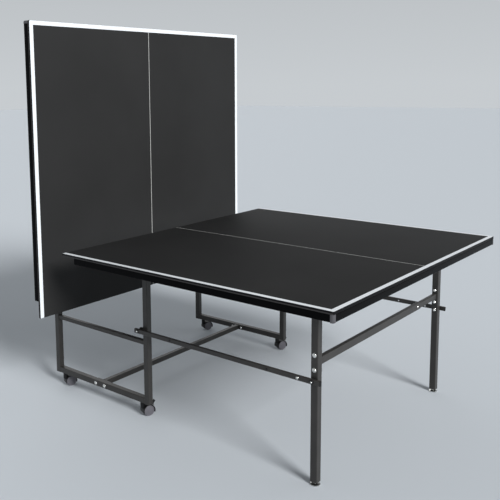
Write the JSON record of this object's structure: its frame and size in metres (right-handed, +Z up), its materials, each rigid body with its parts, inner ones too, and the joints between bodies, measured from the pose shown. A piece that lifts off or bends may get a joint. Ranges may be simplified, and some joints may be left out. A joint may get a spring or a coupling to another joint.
{
  "type": "table tennis table",
  "caption": "Folding table-tennis table on a rolling undercarriage, with the play half flat and the playback half folded upright as a rebound wall for solo practice.",
  "frame": {"origin": "on the floor, below the middle of the overall length and on the table's centre line, as the table stands with its playback half upright", "axes": "+X from the upright playback half towards the play end, +Y to the right-hand side seen from the rear, +Z up"},
  "size_m": [1.6964, 1.525, 1.7935],
  "materials": {
    "playing_board": "matt grey playing paint on a fibreboard core",
    "apron_enamel": "gloss black enamel on bent steel sheet",
    "powder_coat": "satin black powder coat on steel tube",
    "black_plastic": "fine-grained black plastic",
    "grey_plastic": "smooth grey plastic",
    "wheel_plastic": "smooth grey plastic",
    "zinc": "bright zinc plating"
  },
  "bodies": {
    "undercarriage": {"left_front_post": "powder_coat", "left_rear_post": "powder_coat", "right_front_post": "powder_coat", "right_rear_post": "powder_coat", "left_base_rail": "powder_coat", "right_base_rail": "powder_coat", "upper_rails": "powder_coat", "base_crossbar": "powder_coat", "base_crossbar_bolts": "zinc", "pivot_lugs": "powder_coat", "pivot_bolts": "zinc", "post_caps": "black_plastic", "caster_stems": "zinc"},
    "play_half": {"play_board": "playing_board", "play_side_aprons": "apron_enamel", "play_end_apron": "apron_enamel", "play_corner_protectors": "grey_plastic", "play_cross_rails": "powder_coat", "play_hinge_ears": "powder_coat"},
    "play_leg_frame": {"play_left_leg": "powder_coat", "play_right_leg": "powder_coat", "play_crossbar_sleeve": "powder_coat", "play_crossbar_insert": "powder_coat", "play_leg_bolts": "zinc", "play_leg_plugs": "black_plastic"},
    "play_left_link": {"play_left_link": "powder_coat", "play_left_link_fittings": "black_plastic"},
    "play_left_leveller": {"play_left_leveller": "zinc"},
    "play_right_link": {"play_right_link": "powder_coat", "play_right_link_fittings": "black_plastic"},
    "play_right_leveller": {"play_right_leveller": "zinc"},
    "playback_half": {"playback_board": "playing_board", "playback_side_aprons": "apron_enamel", "playback_end_apron": "apron_enamel", "playback_corner_protectors": "grey_plastic", "playback_cross_rails": "powder_coat", "playback_hinge_ears": "powder_coat"},
    "playback_leg_frame": {"playback_left_leg": "powder_coat", "playback_right_leg": "powder_coat", "playback_crossbar_sleeve": "powder_coat", "playback_crossbar_insert": "powder_coat", "playback_leg_bolts": "zinc", "playback_leg_plugs": "black_plastic"},
    "playback_left_link": {"playback_left_link": "powder_coat", "playback_left_link_fittings": "black_plastic"},
    "playback_left_leveller": {"playback_left_leveller": "zinc"},
    "playback_right_link": {"playback_right_link": "powder_coat", "playback_right_link_fittings": "black_plastic"},
    "playback_right_leveller": {"playback_right_leveller": "zinc"},
    "left_front_caster": {"left_front_caster_hood": "black_plastic"},
    "left_front_caster_wheels": {"left_front_caster_wheels": "wheel_plastic"},
    "left_brake_pedal": {"left_brake_pedal": "black_plastic"},
    "left_rear_caster": {"left_rear_caster_hood": "black_plastic"},
    "left_rear_caster_wheels": {"left_rear_caster_wheels": "wheel_plastic"},
    "right_front_caster": {"right_front_caster_hood": "black_plastic"},
    "right_front_caster_wheels": {"right_front_caster_wheels": "wheel_plastic"},
    "right_brake_pedal": {"right_brake_pedal": "black_plastic"},
    "right_rear_caster": {"right_rear_caster_hood": "black_plastic"},
    "right_rear_caster_wheels": {"right_rear_caster_wheels": "wheel_plastic"}
  },
  "joints": [
    {"name": "play_fold", "type": "hinge", "parent": "undercarriage", "child": "play_half", "pos_m": [-0.26925, 0, 0.676], "axis": [0, -1, 0], "range_deg": [0, 90]},
    {"name": "play_leg_hinge", "type": "hinge", "parent": "play_half", "child": "play_leg_frame", "pos_m": [0.62875, 0, 0.676], "axis": [0, -1, 0], "range_deg": [-90, 0]},
    {"name": "play_left_link_hinge", "type": "hinge", "parent": "undercarriage", "child": "play_left_link", "pos_m": [-0.23925, -0.578, 0.413], "axis": [0, -1, 0], "range_deg": [0, 90]},
    {"name": "play_left_leveller_screw", "type": "slide", "parent": "play_leg_frame", "child": "play_left_leveller", "axis": [0, 0, -1], "range_m": [0, 0.02]},
    {"name": "play_right_link_hinge", "type": "hinge", "parent": "undercarriage", "child": "play_right_link", "pos_m": [-0.23925, 0.578, 0.413], "axis": [0, -1, 0], "range_deg": [0, 90]},
    {"name": "play_right_leveller_screw", "type": "slide", "parent": "play_leg_frame", "child": "play_right_leveller", "axis": [0, 0, -1], "range_m": [0, 0.02]},
    {"name": "playback_fold", "type": "hinge", "parent": "undercarriage", "child": "playback_half", "pos_m": [-0.77925, 0, 0.676], "axis": [0, -1, 0], "range_deg": [0, 90]},
    {"name": "playback_leg_hinge", "type": "hinge", "parent": "playback_half", "child": "playback_leg_frame", "pos_m": [-0.77925, 0, 1.574], "axis": [0, -1, 0], "range_deg": [-90, 0]},
    {"name": "playback_left_link_hinge", "type": "hinge", "parent": "undercarriage", "child": "playback_left_link", "pos_m": [-0.80925, -0.578, 0.413], "axis": [0, -1, 0], "range_deg": [0, 90]},
    {"name": "playback_left_leveller_screw", "type": "slide", "parent": "playback_leg_frame", "child": "playback_left_leveller", "axis": [0, 0, -1], "range_m": [0, 0.02]},
    {"name": "playback_right_link_hinge", "type": "hinge", "parent": "undercarriage", "child": "playback_right_link", "pos_m": [-0.80925, 0.578, 0.413], "axis": [0, -1, 0], "range_deg": [0, 90]},
    {"name": "playback_right_leveller_screw", "type": "slide", "parent": "playback_leg_frame", "child": "playback_right_leveller", "axis": [0, 0, -1], "range_m": [0, 0.02]},
    {"name": "left_front_caster_swivel", "type": "hinge", "parent": "undercarriage", "child": "left_front_caster", "pos_m": [-0.25225, -0.545, 0.057], "axis": [0, 0, 1], "continuous": true},
    {"name": "left_front_caster_wheels_roll", "type": "hinge", "parent": "left_front_caster", "child": "left_front_caster_wheels", "pos_m": [-0.24288, -0.52182, 0.025], "axis": [-0.9272, 0.3746, 0], "continuous": true},
    {"name": "left_brake_pedal_hinge", "type": "hinge", "parent": "left_front_caster", "child": "left_brake_pedal", "pos_m": [-0.23496, -0.50222, 0.04848], "axis": [-0.9272, 0.3746, 0], "range_deg": [0, 12]},
    {"name": "left_rear_caster_swivel", "type": "hinge", "parent": "undercarriage", "child": "left_rear_caster", "pos_m": [-0.79625, -0.545, 0.057], "axis": [0, 0, 1], "continuous": true},
    {"name": "left_rear_caster_wheels_roll", "type": "hinge", "parent": "left_rear_caster", "child": "left_rear_caster_wheels", "pos_m": [-0.78688, -0.52182, 0.025], "axis": [-0.9272, 0.3746, 0], "continuous": true},
    {"name": "right_front_caster_swivel", "type": "hinge", "parent": "undercarriage", "child": "right_front_caster", "pos_m": [-0.25225, 0.545, 0.057], "axis": [0, 0, 1], "continuous": true},
    {"name": "right_front_caster_wheels_roll", "type": "hinge", "parent": "right_front_caster", "child": "right_front_caster_wheels", "pos_m": [-0.24288, 0.56818, 0.025], "axis": [-0.9272, 0.3746, 0], "continuous": true},
    {"name": "right_brake_pedal_hinge", "type": "hinge", "parent": "right_front_caster", "child": "right_brake_pedal", "pos_m": [-0.23496, 0.58778, 0.04848], "axis": [-0.9272, 0.3746, 0], "range_deg": [0, 12]},
    {"name": "right_rear_caster_swivel", "type": "hinge", "parent": "undercarriage", "child": "right_rear_caster", "pos_m": [-0.79625, 0.545, 0.057], "axis": [0, 0, 1], "continuous": true},
    {"name": "right_rear_caster_wheels_roll", "type": "hinge", "parent": "right_rear_caster", "child": "right_rear_caster_wheels", "pos_m": [-0.78688, 0.56818, 0.025], "axis": [-0.9272, 0.3746, 0], "continuous": true}
  ],
  "couplings": [
    {"joint": "play_leg_hinge", "follows": "play_fold", "ratio": -1},
    {"joint": "play_left_link_hinge", "follows": "play_fold", "ratio": 1},
    {"joint": "play_right_link_hinge", "follows": "play_fold", "ratio": 1},
    {"joint": "playback_leg_hinge", "follows": "playback_fold", "ratio": -1},
    {"joint": "playback_left_link_hinge", "follows": "playback_fold", "ratio": 1},
    {"joint": "playback_right_link_hinge", "follows": "playback_fold", "ratio": 1}
  ]
}
